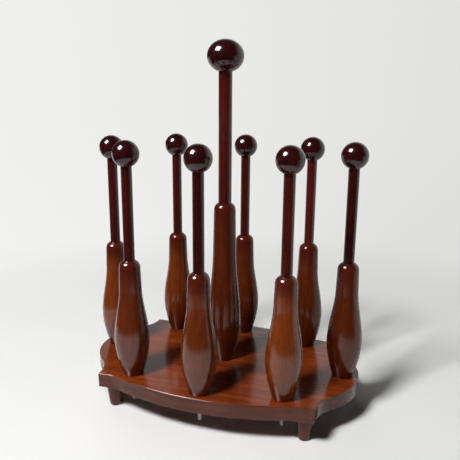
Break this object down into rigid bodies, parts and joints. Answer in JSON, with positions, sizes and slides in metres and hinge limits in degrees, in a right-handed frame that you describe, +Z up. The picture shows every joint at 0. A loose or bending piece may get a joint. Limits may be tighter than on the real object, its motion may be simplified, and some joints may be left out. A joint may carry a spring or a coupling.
{
  "type": "mug tree",
  "caption": "Lacquered wooden peg stand: upright ball-topped pegs in an oval ring on a shaped board with turned feet, round a taller carrying post.",
  "frame": {"origin": "middle of the footprint, on the surface that the feet stand on", "axes": "+X along the board towards its right end, -Y towards its front, +Z up along the centre post"},
  "size_m": [0.3684, 0.2404, 0.4706],
  "materials": {
    "board_wood": "high gloss red-brown lacquer",
    "turned_wood": "high gloss red-brown lacquer",
    "stem_wood": "high gloss dark red lacquer",
    "ball_wood": "high gloss maroon lacquer",
    "bright_steel": "bright zinc plate"
  },
  "bodies": {
    "root": {"base_plate": "board_wood", "foot_front_left": "turned_wood", "foot_front_right": "turned_wood", "foot_back_left": "turned_wood", "foot_back_right": "turned_wood", "club_1": "turned_wood", "club_2": "turned_wood", "club_3": "turned_wood", "club_4": "turned_wood", "club_5": "turned_wood", "club_6": "turned_wood", "club_7": "turned_wood", "club_8": "turned_wood", "stem_1": "stem_wood", "stem_2": "stem_wood", "stem_3": "stem_wood", "stem_4": "stem_wood", "stem_5": "stem_wood", "stem_6": "stem_wood", "stem_7": "stem_wood", "stem_8": "stem_wood", "ball_1": "ball_wood", "ball_2": "ball_wood", "ball_3": "ball_wood", "ball_4": "ball_wood", "ball_5": "ball_wood", "ball_6": "ball_wood", "ball_7": "ball_wood", "ball_8": "ball_wood", "post_club": "turned_wood", "post_stem": "stem_wood", "post_knob": "ball_wood", "hanger_bolts": "bright_steel", "washers": "bright_steel", "nuts": "bright_steel"}
  },
  "joints": []
}
